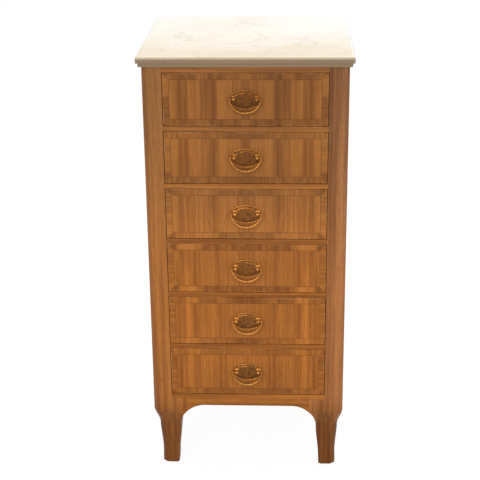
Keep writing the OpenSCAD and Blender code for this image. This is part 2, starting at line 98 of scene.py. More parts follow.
def s_curve(t):
    """From 0 to 1, level at both ends."""
    return (1 - cos(pi * t)) / 2


def leg_half(z):
    """Half the width of a leg below its ears."""
    if z > SHIN_Z:
        return SHIN_W / 2 + (ANKLE_W - SHIN_W) / 2 * s_curve((z - SHIN_Z) / (ANKLE_Z - SHIN_Z))
    return SHIN_W / 2 + (FOOT_W - SHIN_W) / 2 * (1 - z / SHIN_Z) ** 2


def leg_mid(z):
    """Distance of a leg's middle from the corner of the case."""
    return ANKLE_IN + ANKLE_W / 2 - FOOT_KICK * (1 - z / ANKLE_Z) ** 2


def leg_out(z):
    """Distance of the outer face of a curved leg from the corner of the case."""
    if z >= KNEE_Z:
        return 0.0
    if z >= ANKLE_Z:
        return ANKLE_IN * s_curve((KNEE_Z - z) / (KNEE_Z - ANKLE_Z))
    return leg_mid(z) - leg_half(z) + max(0.0, FOOT_EDGE - z)


def leg_in(z):
    """Distance of the inner face of a leg below its ears."""
    if z >= ANKLE_Z:
        return ANKLE_U
    return leg_mid(z) + leg_half(z) - max(0.0, FOOT_EDGE - z)


def arch_z(u):
    """Height of the arch's underside at distance u from the corner of the case."""
    if u <= ANKLE_U:
        return ANKLE_Z
    if u >= ARCH_U:
        return LEG_H
    return ANKLE_Z + sqrt(ARCH_R ** 2 - (ARCH_U - u) ** 2)


# Meshes

class Shell:
    """Points and faces of one piece, in millimetres, with a material index for each face."""

    def __init__(self):
        self.points = []
        self.faces = []
        self.indices = []

    def loft(self, rings, bands=0):
        """Joins rings of equal length into one closed skin; bands is a material index, or a list of
        one for each band."""
        count = len(rings[0])
        if not isinstance(bands, list):
            bands = [bands] * (len(rings) - 1)
        first = len(self.points)
        self.points += [Vector(p) for ring in rings for p in ring]
        for j, index in enumerate(bands):
            start = first + j * count
            for k in range(count):
                a, b = start + k, start + (k + 1) % count
                self.faces.append([a, b, b + count, a + count])
                self.indices.append(index)
        last = first + len(bands) * count
        self.faces += [[first + k for k in range(count)][::-1], [last + k for k in range(count)]]
        self.indices += [bands[0], bands[-1]]

    def move(self, matrix, start=0):
        """Moves the points from number start on."""
        for k in range(start, len(self.points)):
            self.points[k] = matrix @ self.points[k]


def finish_object(name, mesh, materials, body, replaced=(), crease=CREASE):
    """Turns a mesh into a piece that rides on a body and replaces CAD nodes."""
    for material in materials:
        mesh.materials.append(material)
    made = bpy.data.objects.new(name, mesh)
    bpy.context.scene.collection.objects.link(made)
    mesh.shade_smooth()
    mesh.set_sharp_from_angle(angle=radians(crease))
    weighted = made.modifiers.new("weighted_normals", "WEIGHTED_NORMAL")
    weighted.keep_sharp = True
    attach(made, body)
    if replaced:
        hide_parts(*replaced)
    return made


def shell_mesh(name, shell):
    """A mesh in metres whose faces look outward."""
    mesh = bpy.data.meshes.new(name)
    mesh.from_pydata([p * MM for p in shell.points], [], shell.faces)
    mesh.polygons.foreach_set("material_index", shell.indices)
    work = bmesh.new()
    work.from_mesh(mesh)
    bmesh.ops.recalc_face_normals(work, faces=work.faces)
    work.to_mesh(mesh)
    work.free()
    return mesh


def united_mesh(name, shells):
    """The union of shells that overlap, as one closed skin."""
    parts = []
    for number, shell in enumerate(shells):
        part_name = f"{name}_part_{number}"
        part = bpy.data.objects.new(part_name, shell_mesh(part_name, shell))
        bpy.context.scene.collection.objects.link(part)
        parts.append(part)
    for part in parts[1:]:
        union = parts[0].modifiers.new("union", "BOOLEAN")
        union.operation, union.solver, union.object = "UNION", "EXACT", part
    bpy.context.view_layer.update()
    made = parts[0].evaluated_get(bpy.context.evaluated_depsgraph_get())
    mesh = bpy.data.meshes.new_from_object(made)
    mesh.name = name
    work = bmesh.new()
    work.from_mesh(mesh)
    bmesh.ops.remove_doubles(work, verts=work.verts, dist=UNION_WELD)
    bmesh.ops.dissolve_degenerate(work, edges=work.edges, dist=UNION_WELD)
    work.to_mesh(mesh)
    work.free()
    for part in parts:
        spare = part.data
        bpy.data.objects.remove(part)
        bpy.data.meshes.remove(spare)
    return mesh


def make_piece(name, shell, materials, body, replaced=(), crease=CREASE):
    return finish_object(name, shell_mesh(name, shell), materials, body, replaced, crease)


def eased_copy(name, node, body, materials, pick, width):
    """A copy of a CAD node whose edges that pick(a, b) names are rounded."""
    work = bmesh.new()
    work.from_mesh(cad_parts[node].data)
    bmesh.ops.remove_doubles(work, verts=work.verts, dist=CAD_WELD)
    bmesh.ops.dissolve_limit(work, angle_limit=radians(FLAT_WITHIN), verts=work.verts,
                             edges=work.edges)
    edges = [e for e in work.edges
             if len(e.link_faces) == 2 and e.calc_face_angle() > radians(EASED_OVER)
             and pick(e.verts[0].co / MM, e.verts[1].co / MM)]
    bmesh.ops.bevel(work, geom=edges, offset=width * MM, offset_type="OFFSET", segments=3,
                    profile=0.5, affect="EDGES", clamp_overlap=False)
    mesh = bpy.data.meshes.new(name)
    work.to_mesh(mesh)
    work.free()
    mesh.materials.clear()
    for polygon in mesh.polygons:
        polygon.material_index = 0
    return finish_object(name, mesh, materials, body, [node])


def rounded(corners, steps=4):
    """A polygon from corners (x, y, radius), each turned into a curve of steps + 1 points."""
    points = []
    count = len(corners)
    for k in range(count):
        corner = Vector(corners[k][:2])
        before = Vector(corners[k - 1][:2]) - corner
        after = Vector(corners[(k + 1) % count][:2]) - corner
        reach = min(corners[k][2], CURVE_SHARE * before.length, CURVE_SHARE * after.length)
        start = corner + before.normalized() * reach
        end = corner + after.normalized() * reach
        for j in range(steps + 1):
            t = j / steps
            p = start * (1 - t) ** 2 + corner * 2 * t * (1 - t) + end * t ** 2
            points.append((p.x, p.y))
    return points


# Materials

class Graph:
    """A material's node tree, with short calls that add nodes and join them."""

    def __init__(self, name):
        self.material = bpy.data.materials.new(name)
        self.material.use_nodes = True
        self.tree = self.material.node_tree
        self.shader = self.tree.nodes["Principled BSDF"]
        self.coords = self.node("TexCoord").outputs["Object"]

    def node(self, kind, inputs=(), **settings):
        made = self.tree.nodes.new("ShaderNode" + kind)
        for key, value in settings.items():
            setattr(made, key, value)
        for key, value in dict(inputs).items():
            self.put(made.inputs[key], value)
        return made

    def put(self, socket, value):
        if isinstance(value, bpy.types.NodeSocket):
            self.tree.links.new(value, socket)
        else:
            socket.default_value = value

    def math(self, operation, a, b=0.0, c=0.0):
        return self.node("Math", {0: a, 1: b, 2: c}, operation=operation).outputs[0]

    def mapped(self, vector, scale, offset=(0, 0, 0), turn=(0, 0, 0)):
        return self.node("Mapping", {"Vector": vector, "Location": offset, "Rotation": turn,
                                     "Scale": scale}).outputs[0]

    def noise(self, vector, detail=2.0, roughness=0.5):
        return self.node("TexNoise", {"Vector": vector, "Scale": 1.0, "Detail": detail,
                                      "Roughness": roughness, "Distortion": 0.0}).outputs["Fac"]

    def swayed(self, vector, noise, reach):
        """A vector moved along each axis by a noise times a reach in metres."""
        steps = {axis: self.math("MULTIPLY", noise, r) for axis, r in zip("XYZ", reach)}
        shift = self.node("CombineXYZ", steps).outputs[0]
        return self.node("VectorMath", {0: vector, 1: shift}, operation="ADD").outputs[0]

    def spread(self, value, low, high, to_low=0.0, to_high=1.0):
        """Value from low to high, spread smoothly over another range and held at its ends."""
        return self.node("MapRange", {"Value": value, "From Min": low, "From Max": high,
                                      "To Min": to_low, "To Max": to_high},
                         interpolation_type="SMOOTHSTEP").outputs["Result"]

    def mix(self, factor, a, b, blend="MIX"):
        """Colour a where factor is 0 and b where it is 1, or their product with MULTIPLY."""
        made = self.node("Mix", data_type="RGBA", blend_type=blend)
        self.put(made.inputs[0], factor)
        for socket, value in ((made.inputs[6], a), (made.inputs[7], b)):
            self.put(socket, value if isinstance(value, bpy.types.NodeSocket) else (*value, 1.0))
        return made.outputs[2]

    def bump(self, height, strength, distance):
        made = self.node("Bump", {"Height": height, "Strength": strength, "Distance": distance})
        self.put(self.shader.inputs["Normal"], made.outputs[0])

    def finish(self, colour, roughness, **constants):
        """Joins colour and roughness to the shader and sets its constant sockets."""
        self.put(self.shader.inputs["Base Color"], colour)
        self.put(self.shader.inputs["Roughness"], roughness)
        for key, value in constants.items():
            self.put(self.shader.inputs[key.replace("_", " ")], value)
        return self.material


def shade(colour, factor):
    return tuple(c * factor for c in colour)


def even(value):
    return (value,) * 3


ALONG_X, ALONG_Y, ALONG_Z = "x", "y", "z"
# Wood, along z of its coordinates: scale of the sway of its grain, per metre, and its reach
SWAY_SCALE, SWAY_REACH = (9, 9, 2.2), (0.018, 0.012, 0.0)
# Noises that make up its figure, finest first: scale per metre, detail, roughness and share
FIGURE = [((900, 900, 22), 1.0, 0.5, 0.16), ((150, 150, 2.6), 2.0, 0.55, 0.38),
          ((22, 22, 1.1), 2.5, 0.5, 0.46)]
PORE_SCALE, PORE_RANGE, PORE_SHARE, PORE_TONE = (1500, 1500, 60), (0.61, 0.72), 0.45, 0.45
# Depth of its streaks, over which part of the figure they come in, and what each channel takes of
# the depth in the dark streaks and between them
STREAK_DEPTH, STREAK_RANGE = 0.42, (0.36, 0.64)
DARKENED, LIGHTENED = (1.0, 1.15, 1.25), (0.62, 0.72, 0.8)
# Bumps of wood: their depth in metres, and their strength where it is polished, on the fronts and
# where it is raw
WOOD_BUMP, POLISHED_BUMP, FRONT_BUMP, RAW_BUMP = 0.0004, 0.12, 0.08, 0.18
# What the figure rises by, and the line in the fronts sinks by, for the height of a pore
FIGURE_RISE, LINE_SINK = 0.3, 0.4
# Roughness at the figure's dark end, and what it gains towards its light end
POLISHED_ROUGH, LEG_ROUGH, CORE_ROUGH, POLISHED_GAIN = 0.30, 0.28, 0.41, 0.18
FRONT_ROUGH, FRONT_GAIN = 0.29, 0.14
RAW_ROUGH, RAW_GAIN = 0.55, 0.2
# Specular levels
POLISHED_SHINE, LEG_SHINE, RAW_SHINE, STONE_SHINE, BRASS_SHINE = 0.16, 0.10, 0.3, 0.5, 0.5


def grain_space(g, along, offset):
    """Coordinates in metres turned so that the grain runs along their z."""
    turn = {ALONG_X: (0, radians(90), 0), ALONG_Y: (radians(90), 0, 0), ALONG_Z: (0, 0, 0)}[along]
    return g.mapped(g.coords, even(1), offset, turn)


def grain(g, space):
    """Figure and pores of wood whose grain runs along z of the given coordinates."""
    swayed = g.swayed(space, g.noise(g.mapped(space, SWAY_SCALE), detail=1.5), SWAY_REACH)
    figure = 0.0
    for scale, detail, roughness, share in FIGURE:
        layer = g.noise(g.mapped(swayed, scale), detail, roughness)
        figure = g.math("ADD", g.math("MULTIPLY", layer, share), figure)
    pores = g.spread(g.noise(g.mapped(swayed, PORE_SCALE), detail=0.0), *PORE_RANGE)
    return figure, pores


def tinted(g, figure, pores, colour, contrast=1.0):
    """Wood colour that darkens and reddens in the dense streaks and lightens between them."""
    depth = STREAK_DEPTH * contrast
    dark = tuple(c * (1 - part * depth) for c, part in zip(colour, DARKENED))
    light = tuple(c * (1 + part * depth) for c, part in zip(colour, LIGHTENED))
    lit = g.mix(g.spread(figure, *STREAK_RANGE), dark, light)
    return g.mix(g.math("MULTIPLY", pores, PORE_SHARE), lit, shade(colour, PORE_TONE))


VENEER = (0.392, 0.130, 0.019)
LEG_DARK = (0.240, 0.081, 0.016)
# Posts: the veneer's wood, paler and bluer with a painted sheen, the right post more so as painted
# light from the right
LEFT_POST_AND_SHEEN, RIGHT_POST_AND_SHEEN = (0.412, 0.145, 0.032), (0.426, 0.161, 0.048)
INNER = (0.56, 0.40, 0.235)
CORE = (0.43, 0.235, 0.10)
# How the veneer's colour differs on the plain parts of the case; the rails' factor also holds
# painted light that lifts the shade in the gaps between the drawers
APRON_TONE, RAIL_TONE_AND_LIGHT, TOP_RAIL_TONE, PANEL_TONE = 0.93, 1.06, 1.02, 0.97
# Painted shade: what the wood's colour is multiplied by at the top of the piece, darker and greyer
# where less light reaches it
TOP_SHADE = (0.80, 0.90, 1.25)
LEFT_TOP_SHADE, RIGHT_TOP_SHADE = (0.65, 0.75, 0.98), (0.66, 0.72, 0.88)
TOP_SHADE_FROM, TOP_SHADE_TO = 0.30, 0.74
# Heights between which the legs turn from dark to the posts' colour, in millimetres
DARK_TO, LIGHT_FROM = ANKLE_Z - 5, BLOCK_TOP + 12
SATIN = {"Coat_Weight": 0.06, "Coat_Roughness": 0.25}


def painted_top_shade(g, tone, top_shade=TOP_SHADE):
    """Painted shade: the wood darkens and greys towards the top of the piece, where less light
    reaches it.
    """
    z = g.node("SeparateXYZ", {0: g.coords}).outputs["Z"]
    height = g.spread(z, TOP_SHADE_FROM, TOP_SHADE_TO)
    return g.mix(height, tone, g.mix(1.0, tone, top_shade, "MULTIPLY"))


def wood_material(name, colour, along, offset, contrast=1.0, rough=POLISHED_ROUGH,
                  foot_colour=None, top_shade=TOP_SHADE, shine=POLISHED_SHINE):
    """Satin wood; foot_colour is the colour that it darkens to below the knee."""
    g = Graph(name)
    figure, pores = grain(g, grain_space(g, along, offset))
    tone = tinted(g, figure, pores, colour, contrast)
    if foot_colour:
        z = g.node("SeparateXYZ", {0: g.coords}).outputs["Z"]
        height = g.spread(z, DARK_TO * MM, LIGHT_FROM * MM)
        tone = g.mix(height, tinted(g, figure, pores, foot_colour, contrast), tone)
    # Painted shade towards the top of the piece
    tone = painted_top_shade(g, tone, top_shade)
    g.bump(g.math("SUBTRACT", g.math("MULTIPLY", figure, FIGURE_RISE), pores), POLISHED_BUMP,
           WOOD_BUMP)
    rough = g.math("MULTIPLY_ADD", figure, POLISHED_GAIN, rough)
    return g.finish(tone, rough, **SATIN, Specular_IOR_Level=shine)


RAW_CONTRAST = 0.55
# Dust on the raw wood: scale per metre, range of its noise, share and tone
DUST_SCALE, DUST_RANGE, DUST_SHARE, DUST_TONE = 7, (0.35, 0.75), 0.25, 0.68


def raw_material(name, along, offset):
    """Plain planed wood inside the case."""
    g = Graph(name)
    figure, pores = grain(g, grain_space(g, along, offset))
    tone = tinted(g, figure, pores, INNER, RAW_CONTRAST)
    dust = g.spread(g.noise(g.mapped(g.coords, even(DUST_SCALE)), detail=3), *DUST_RANGE)
    tone = g.mix(g.math("MULTIPLY", dust, DUST_SHARE), tone, shade(INNER, DUST_TONE))
    g.bump(g.math("SUBTRACT", figure, pores), RAW_BUMP, WOOD_BUMP)
    rough = g.math("MULTIPLY_ADD", figure, RAW_GAIN, RAW_ROUGH)
    return g.finish(tone, rough, Specular_IOR_Level=RAW_SHINE)


# Cross-cut band of the fronts, the dark line inside it and their worn edge, in millimetres
BAND_W, LINE_W, WORN_W = 11.0, 1.1, 3.0
WORN_EDGE = (0.56, 0.27, 0.085)
BAND_TONE, BAND_CONTRAST, LINE_TONE, LINE_SHARE = 0.90, 0.9, 0.42, 0.75
# Rubbed places on the worn edge: scale per metre, range of their noise, and share
RUB_SCALE, RUB_RANGE, RUB_SHARE = 55, (0.42, 0.68), 0.55
# Figure that gives the fronts their sheen, and how far the band's grain moves from front to front
SHEEN_SCALE, BAND_SHIFT = (700, 700, 24), 0.13
# Of each front, from the top: what the veneer's colour is multiplied by, how much darker its right
# half is than its left, how much the hands have darkened it round the pull, what two paler streaks
# near its ends are multiplied by, and how much darker its top is than its middle
FRONT_TONE_CHANGES = [
    ((0.995, 0.945, 0.87), 0.11, 0.06, 1.0, 0.0),
    ((0.985, 0.97, 0.96), 0.04, 0.07, 1.16, -0.06),
    ((1.05, 1.08, 1.29), 0.02, 0.04, 1.20, 0.09),
    ((1.02, 1.0, 1.03), 0.04, 0.03, 1.12, 0.0),
    ((1.03, 1.0, 1.01), 0.05, 0.07, 1.18, 0.02),
    ((1.0, 0.97, 0.97), 0.07, 0.02, 1.06, -0.06),
]
# What the ends of every front are multiplied by, and the streaks besides their own factor
ENDS_TONE = (1.05, 1.06, 1.03)
# Distances from the middle, in metres, over which these changes come in
LEAN_REACH = 0.06
STREAK_IN, STREAK_OUT = (0.07, 0.098), (0.107, 0.125)
HANDLED_OUT = (0.012, 0.060)


def front_material(number):
    """Veneer of one drawer front: a mirrored field in a cross-cut band with a thin line between."""
    tone_factor, lean, handled, lift, slope = FRONT_TONE_CHANGES[number - 1]
    g = Graph(f"drawer_{number}_veneer")
    low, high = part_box(f"drawer_{number}_front")
    middle = (low.z + high.z) / 2
    part = g.node("SeparateXYZ", {0: g.coords})
    across = g.math("ABSOLUTE", part.outputs["X"])
    dx = g.math("SUBTRACT", high.x, across)
    dz = g.math("SUBTRACT", (high.z - low.z) / 2,
                g.math("ABSOLUTE", g.math("SUBTRACT", part.outputs["Z"], middle)))
    edge = g.math("MINIMUM", dx, dz)
    mirrored = g.node("CombineXYZ", {"X": across, "Y": part.outputs["Y"],
                                     "Z": part.outputs["Z"]}).outputs[0]
    colour = tuple(c * f for c, f in zip(VENEER, tone_factor))
    full = even(1)
    shift = BAND_SHIFT * number
    field = tinted(g, *grain(g, g.mapped(mirrored, full, (0.31, 0.2, 0.7))), colour)
    turned = grain(g, g.mapped(mirrored, full, (0.1 + shift, 0.4, 0.2), (0, radians(90), 0)))
    upright = grain(g, g.mapped(mirrored, full, (0.5 + shift, 0.1, 0.9)))
    sides = tinted(g, *turned, shade(colour, BAND_TONE), BAND_CONTRAST)
    ends = tinted(g, *upright, shade(colour, BAND_TONE), BAND_CONTRAST)
    band = g.mix(g.math("GREATER_THAN", dz, dx), ends, sides)
    tone = g.mix(g.math("GREATER_THAN", edge, BAND_W * MM), band, field)
    from_line = g.math("ABSOLUTE", g.math("SUBTRACT", edge, BAND_W * MM))
    line = g.math("LESS_THAN", from_line, LINE_W * MM / 2)
    tone = g.mix(g.math("MULTIPLY", line, LINE_SHARE), tone, shade(colour, LINE_TONE))
    rubs = g.spread(g.noise(g.mapped(g.coords, even(RUB_SCALE)), detail=3), *RUB_RANGE)
    wear_and_front_shade = g.math("MULTIPLY", g.spread(edge, 0.0, WORN_W * MM, RUB_SHARE, 0.0), rubs)
    tone = g.mix(wear_and_front_shade, tone, WORN_EDGE)
    figure = g.noise(g.mapped(mirrored, SHEEN_SCALE), detail=2)
    right_side = g.spread(part.outputs["X"], -LEAN_REACH, LEAN_REACH)
    leaning = g.mix(right_side, even(1.0), even(1.0 - lean))
    leaning = g.mix(g.spread(across, *STREAK_IN), leaning, shade(ENDS_TONE, lift))
    leaning = g.mix(g.spread(across, *STREAK_OUT), leaning, ENDS_TONE)
    height = g.spread(part.outputs["Z"], low.z, high.z)
    sloped = g.mix(height, even(1.0 + slope), even(1.0 - slope))
    touched = g.mix(g.spread(across, *HANDLED_OUT), even(1.0 - handled), even(1.0))
    for change in (leaning, sloped, touched):
        tone = g.mix(1.0, tone, change, "MULTIPLY")
    # Painted shade towards the top of the piece
    tone = painted_top_shade(g, tone)
    g.bump(g.math("SUBTRACT", figure, g.math("MULTIPLY", line, LINE_SINK)), FRONT_BUMP, WOOD_BUMP)
    rough = g.math("MULTIPLY_ADD", figure, FRONT_GAIN, FRONT_ROUGH)
    return g.finish(tone, rough, **SATIN, Specular_IOR_Level=POLISHED_SHINE)


STONE = (0.86, 0.78, 0.66)
STONE_VEIN = (0.64, 0.53, 0.38)
STONE_HAIR = (0.55, 0.40, 0.25)
STONE_SHADE = (0.25, 0.165, 0.085)
STONE_FRONT_SHADE = (0.75, 0.62, 0.44)
STONE_LIT = (0.85, 0.85, 0.82)
# Depth over which the painted shade on the front of the top fades out, and how far below the top
# and above it the painted shade of the edge begins and ends, in millimetres
FRONT_SHADE_DEPTH, DARK_BELOW, DARK_ABOVE = 130, 7, 0.5
FRONT_SHADE_SHARE = 0.76
# Painted light on the back of the top, strongest on the right: where it comes in along x and y, in
# metres, and its shares along x
LIT_X, LIT_Y, LIT_SHARES = (-0.02, 0.15), (-0.08, 0.12), (0.35, 0.75)
# Scales, per metre, of the stone's warp, clouds and grains; the warp's reach in metres
WARP_SCALE, WARP_REACH, CLOUD_SCALE, GRAIN_SCALE = 5, (0.16, 0.05, 0.1), (9, 14, 12), 420
CLOUD_RANGE, CLOUD_SHARE, GRAIN_RANGE, GRAIN_SHARE = (0.42, 0.72), 0.45, (0.3, 0.7), 0.08
# Veins: scale, offset, turn in degrees, detail, roughness, half width, share and colour
VEINS = [((4.2, 6.5, 5), (3, 1, 2), 35, 5, 0.55, 0.022, 0.42, shade(STONE_VEIN, 0.8)),
         ((11, 8, 9), (7, 4, 1), -20, 4, 0.6, 0.010, 0.22, STONE_HAIR)]
STONE_BUMP, STONE_BUMP_DEPTH, STONE_ROUGH = 0.03, 0.0003, (0.24, 0.38)


def stone_material():
    """Honed cream marble: soft clouds and thin veins, painted shade on the front of the top and on
    its edge, and painted light on its back and right.
    """
    g = Graph("cream_marble")
    warp = g.noise(g.mapped(g.coords, even(WARP_SCALE)), detail=4, roughness=0.6)
    moved = g.swayed(g.coords, warp, WARP_REACH)
    clouds = g.noise(g.mapped(moved, CLOUD_SCALE), detail=5, roughness=0.6)
    cloudy = g.math("MULTIPLY", g.spread(clouds, *CLOUD_RANGE), CLOUD_SHARE)
    tone = g.mix(cloudy, STONE, STONE_VEIN)
    for scale, offset, turn, detail, roughness, width, share, colour in VEINS:
        field = g.noise(g.mapped(moved, scale, offset, (0, 0, radians(turn))), detail, roughness)
        ridge = g.math("ABSOLUTE", g.math("SUBTRACT", field, 0.5))
        vein = g.math("SUBTRACT", 1.0, g.spread(ridge, 0.0, width))
        tone = g.mix(g.math("MULTIPLY", vein, share), tone, colour)
    grains = g.noise(g.mapped(g.coords, even(GRAIN_SCALE)), detail=2)
    tone = g.mix(g.spread(grains, *GRAIN_RANGE, 0.0, GRAIN_SHARE), tone, shade(STONE_VEIN, 0.9))
    part = g.node("SeparateXYZ", {0: g.coords})
    x, y, z = (part.outputs[axis] for axis in "XYZ")
    # Painted shade: the front of the top is darker and yellower, fading out towards the back
    wear_and_front_shade = g.math("SUBTRACT", 1.0, g.spread(y, SLAB_LOW.y * MM, (SLAB_LOW.y + FRONT_SHADE_DEPTH) * MM))
    tone = g.mix(g.math("MULTIPLY", wear_and_front_shade, FRONT_SHADE_SHARE), tone, STONE_FRONT_SHADE)
    # Painted light: the back of the top turns paler, most on the right
    lit_part = g.math("MULTIPLY", g.spread(x, *LIT_X, *LIT_SHARES),
                      g.spread(y, *LIT_Y))
    tone = g.mix(lit_part, tone, STONE_LIT)
    # Painted shade on the edge and underside of the slab, from just below the top down
    top = g.spread(z, (SLAB_HIGH.z - DARK_BELOW) * MM, (SLAB_HIGH.z + DARK_ABOVE) * MM)
    tone = g.mix(g.math("SUBTRACT", 1.0, top), tone, STONE_SHADE)
    g.bump(grains, STONE_BUMP, STONE_BUMP_DEPTH)
    rough = g.spread(clouds, 0.3, 0.7, *STONE_ROUGH)
    return g.finish(tone, rough, Specular_IOR_Level=STONE_SHINE)


# Brass: scales of its patches and specks, per metre, and the share of each in the patina's noise
PATCH_SCALE, SPECK_SCALE, PATCH_SHARE, SPECK_SHARE = 210, 1400, 0.75, 0.25
# Range of that noise in which patina comes in, and how far a share of 1 would lower it
PATINA_FROM, PATINA_TO, PATINA_LOWER = 0.62, 0.80, 0.3
# From bare metal to patina
METALLIC, BRASS_ROUGH = (1.0, 0.72), (0.30, 0.52)
BRASS_BUMP, BRASS_BUMP_DEPTH = 0.08, 0.0002


def brass_material(name, colour, patina, share):
    """Aged brass: patina in patches over a rubbed metal; a larger share spreads it further."""
    g = Graph(name)
    patches = g.noise(g.mapped(g.coords, even(PATCH_SCALE)), detail=4, roughness=0.65)
    specks = g.noise(g.mapped(g.coords, even(SPECK_SCALE)), detail=2)
    spots = g.math("ADD", g.math("MULTIPLY", patches, PATCH_SHARE),
                   g.math("MULTIPLY", specks, SPECK_SHARE))
    mask = g.spread(spots, PATINA_FROM - PATINA_LOWER * share, PATINA_TO - PATINA_LOWER * share)
    tone = g.mix(mask, colour, patina)
    g.put(g.shader.inputs["Metallic"], g.spread(mask, 0.0, 1.0, *METALLIC))
    g.bump(g.math("ADD", patches, specks), BRASS_BUMP, BRASS_BUMP_DEPTH)
    rough = g.spread(mask, 0.0, 1.0, *BRASS_ROUGH)
    return g.finish(tone, rough, Specular_IOR_Level=BRASS_SHINE)


# Scene

def aim(target, at):
    """Turn that makes a lamp at one place look at another."""
    return (Vector(target) - Vector(at)).to_track_quat("-Z", "Y").to_matrix().to_4x4()


def set_camera():
    forward = Vector((sin(YAW) * cos(PITCH), cos(YAW) * cos(PITCH), -sin(PITCH)))
    right = Vector((cos(YAW), -sin(YAW), 0))
    up = right.cross(forward)
    right, up = right * cos(ROLL) + up * sin(ROLL), up * cos(ROLL) - right * sin(ROLL)
    data = bpy.data.cameras.new("camera")
    data.sensor_width = SENSOR_MM
    data.lens = FOCAL_PIXELS * SENSOR_MM / PHOTO_SIZE
    camera = bpy.data.objects.new("camera", data)
    turn = Matrix((right, up, -forward)).transposed().to_4x4()
    camera.matrix_world = Matrix.Translation(CAMERA_AT) @ turn
    bpy.context.scene.collection.objects.link(camera)
    bpy.context.scene.camera = camera


def add_lamp(name, at, target, size, power, colour):
    data = bpy.data.lights.new(name, "AREA")
    data.shape = "SQUARE"
    data.size = size
    data.energy = power
    data.color = colour
    lamp = bpy.data.objects.new(name, data)
    lamp.matrix_world = Matrix.Translation(at) @ aim(target, at)
    bpy.context.scene.collection.objects.link(lamp)


ROOM_LIGHT, FLOOR_GLOW = 0.55, 0.93
FLOOR_HALF, FLOOR_Z = 30.0, -0.0003
# The floor's two tones as it lights the object, and its tone where it is seen
FLOOR_TONES, FLOOR_SEEN = (0.60, 0.62), 0.12
# Lamps: place, target, size, power and colour
LAMPS = {
    "key": ((-0.8, -2.7, 1.5), (0, 0, 0.35), 1.6, 26, (1, 1, 1)),
    "fill": ((1.3, -2.6, 0.9), (0, 0, 0.35), 1.6, 15, (0.92, 0.98, 1.10)),
    "overhead": ((-0.1, 0.4, 2.7), (0, 0, 0.7), 1.4, 22, (1, 1, 1)),
    "rear": ((1.2, 2.2, 1.8), (0, 0, 0.5), 1.6, 18, (1, 1, 1)),
}


def set_world():
    """Soft room light, seen as white by the camera and in reflections."""
    world = bpy.data.worlds.new("studio")
    world.use_nodes = True
    tree = world.node_tree
    background = tree.nodes["Background"]
    path = tree.nodes.new("ShaderNodeLightPath")
    seen = tree.nodes.new("ShaderNodeMath")
    seen.operation = "MAXIMUM"
    tree.links.new(path.outputs["Is Camera Ray"], seen.inputs[0])
    tree.links.new(path.outputs["Is Glossy Ray"], seen.inputs[1])
    strength = tree.nodes.new("ShaderNodeMapRange")
    tree.links.new(seen.outputs[0], strength.inputs["Value"])
    strength.inputs["To Min"].default_value = ROOM_LIGHT
    strength.inputs["To Max"].default_value = 1.0
    tree.links.new(strength.outputs["Result"], background.inputs["Strength"])
    background.inputs["Color"].default_value = (1, 1, 1, 1)
    bpy.context.scene.world = world


def set_floor():
    """Pale floor: bright enough to read as white, with the object's shadow kept faint."""
    mesh = bpy.data.meshes.new("floor")
    corners = [(-1, -1), (1, -1), (1, 1), (-1, 1)]
    mesh.from_pydata([(FLOOR_HALF * x, FLOOR_HALF * y, 0) for x, y in corners], [], [[0, 1, 2, 3]])
    floor = bpy.data.objects.new("floor", mesh)
    floor.location.z = FLOOR_Z
    bpy.context.scene.collection.objects.link(floor)
    g = Graph("pale_floor")
    path = g.node("LightPath")
    seen = g.math("MAXIMUM", path.outputs["Is Camera Ray"], path.outputs["Is Glossy Ray"])
    texture = g.noise(g.mapped(g.coords, even(3)), detail=3)
    g.put(g.shader.inputs["Emission Color"], (1, 1, 1, 1))
    g.put(g.shader.inputs["Emission Strength"], g.math("MULTIPLY", seen, FLOOR_GLOW))
    lighting = g.mix(texture, *(even(tone) for tone in FLOOR_TONES))
    pale = g.mix(seen, lighting, even(FLOOR_SEEN))
    mesh.materials.append(g.finish(pale, 0.9, Specular_IOR_Level=0.0))


def set_studio():
    set_world()
    set_floor()
    for name, lamp in LAMPS.items():
        add_lamp(name, *lamp)
    bpy.context.scene.view_settings.view_transform = "Standard"


# Legs and aprons

# Space that keeps two pieces' faces from lying in one plane
HIDE = 0.02
# Radii of a leg's edges at its ears, what they gain below, over which height, and the foot's share
EDGE_R, EDGE_GAIN, INNER_R, INNER_GAIN = 1.2, 3.3, 0.6, 4.0
SOFT_OVER, SOFT_ABOVE, FOOT_SHARE = 22, 2, 0.8
BLOCK_EDGE = 1.0
LEG_STEPS, EAR_STEPS, FACE_STEPS, APRON_STEPS = 44, 14, 16, 10
# How deep the post goes into the leg, and an ear into it and back from its inner face
POST_SINK, EAR_SINK, EAR_BACK = 1, 8, 0.1
LOWER_EASE = 1.2


def column_corners(out_u, out_v, in_u, in_v, cant, edge, inner_edge):
    """Corners (u, v, radius) of a leg's section, with a cant at the corner of the case."""
    return [(out_u + cant, out_v, edge), (in_u, out_v, inner_edge), (in_u, in_v, inner_edge),
            (out_u, in_v, inner_edge), (out_u, out_v + cant, edge)]


def leg_levels():
    levels = [0.0, FOOT_EDGE * 0.5, FOOT_EDGE]
    levels += [FOOT_EDGE + (KNEE_Z - FOOT_EDGE) * k / LEG_STEPS for k in range(1, LEG_STEPS + 1)]
    return levels


